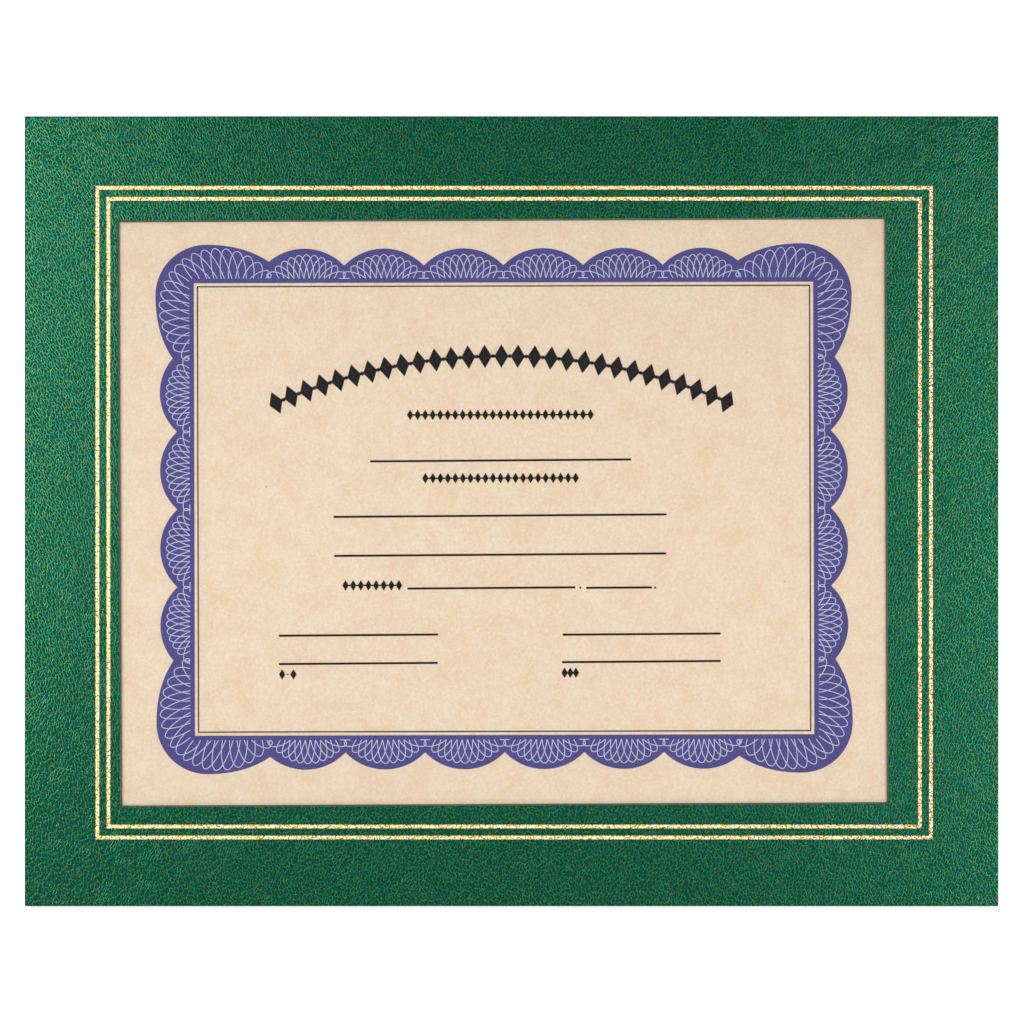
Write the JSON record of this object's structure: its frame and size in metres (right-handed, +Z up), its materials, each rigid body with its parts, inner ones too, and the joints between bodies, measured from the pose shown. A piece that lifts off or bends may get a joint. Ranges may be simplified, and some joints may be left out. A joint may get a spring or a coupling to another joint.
{
  "type": "certificate holder",
  "caption": "Leather-grain covered paperboard certificate holder with a gold double-line window, top-opening document pocket, folding easel leg and wall hanger.",
  "frame": {"origin": "on the standing surface, under the middle of the whole object's box", "axes": "+X to the viewer's right along the frame's long side, +Y backwards from the front, towards the easel leg, +Z up"},
  "size_m": [0.3364, 0.0952, 0.2653],
  "materials": {
    "greyboard": "raw grey-brown paperboard, matte, fibrous cut edges",
    "leatherette": "green leather-grain coated paper, satin",
    "gold_foil": "hot stamped gold foil, broken by the grain",
    "window_film": "clear flexible plastic sheet, glossy",
    "tape": "thin double-sided tape",
    "parchment": "mottled parchment paper, matte",
    "card": "plain spacer card",
    "lining": "black lining paper, matte",
    "back_paper": "black fine-grained cover paper, low sheen",
    "steel": "nickel-plated stamped steel",
    "brass": "brass-plated rivets",
    "ribbon": "black woven satin ribbon"
  },
  "bodies": {
    "frame": {"front_board": "greyboard", "front_cover": "leatherette", "outer_foil_line": "gold_foil", "inner_foil_line": "gold_foil", "window_sheet": "window_film", "window_tape_top": "tape", "window_tape_bottom": "tape", "window_tape_left": "tape", "window_tape_right": "tape", "spacer_left": "card", "spacer_right": "card", "spacer_bottom": "card", "pocket_liner": "lining", "back_board": "greyboard", "back_cover": "back_paper", "hinge_back_leaf": "steel", "hinge_pin": "steel", "back_leaf_rivet_left": "brass", "back_leaf_rivet_right": "brass", "ribbon_stay": "ribbon", "hanger_strap": "steel", "hanger_rivet": "brass"},
    "sheet": {"certificate": "parchment"},
    "easel_leg": {"leg_board": "greyboard", "leg_cover": "back_paper", "leg_liner": "lining", "hinge_leg_leaf": "steel", "leg_leaf_rivet_left": "brass", "leg_leaf_rivet_right": "brass"},
    "ring": {"hanger_ring": "steel"}
  },
  "joints": [
    {"name": "easel_fold", "type": "hinge", "parent": "frame", "child": "easel_leg", "pos_m": [0, 0.00842, 0.17913], "axis": [1, 0, 0], "range_deg": [-27, 0], "deforming": ["ribbon_stay"]},
    {"name": "sheet_slide", "type": "slide", "parent": "frame", "child": "sheet", "axis": [0, 0.2588, 0.9659], "range_m": [0, 0.225]},
    {"name": "ring_swing", "type": "hinge", "parent": "frame", "child": "ring", "pos_m": [0, 0.0189, 0.2198], "axis": [1, 0, 0], "range_deg": [-9, 162]}
  ]
}
